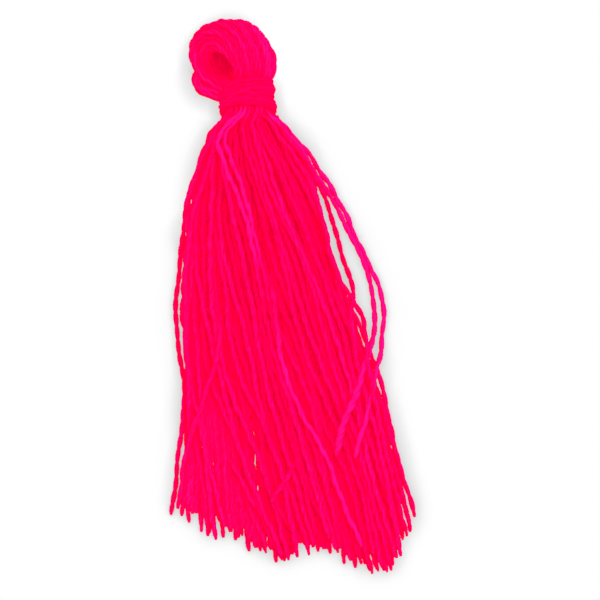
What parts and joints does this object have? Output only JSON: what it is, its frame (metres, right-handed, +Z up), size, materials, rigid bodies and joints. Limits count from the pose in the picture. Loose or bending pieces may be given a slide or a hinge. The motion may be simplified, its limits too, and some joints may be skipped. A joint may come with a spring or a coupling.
{
  "type": "yarn tassel",
  "caption": "Small looped yarn tassel: a folded head with an eye, a wound neck and a spreading skirt of cut twisted yarns, lying flat.",
  "frame": {"origin": "centre of the tassel's bounding box, on the plane it lies on", "axes": "+Y along the tassel from the cut foot to the eye, +Z up from the plane it lies on, +X to the right with the eye at the top"},
  "size_m": [0.0128, 0.03, 0.0036],
  "materials": {
    "yarn": "two-ply twisted cotton-blend yarn, matt, dyed fluorescent pink",
    "binding_yarn": "the same yarn wound tight round the neck, its twist pulled nearly straight"
  },
  "bodies": {
    "root": {"crown": "yarn", "neck_binding": "binding_yarn", "skirt": "yarn"}
  },
  "joints": []
}
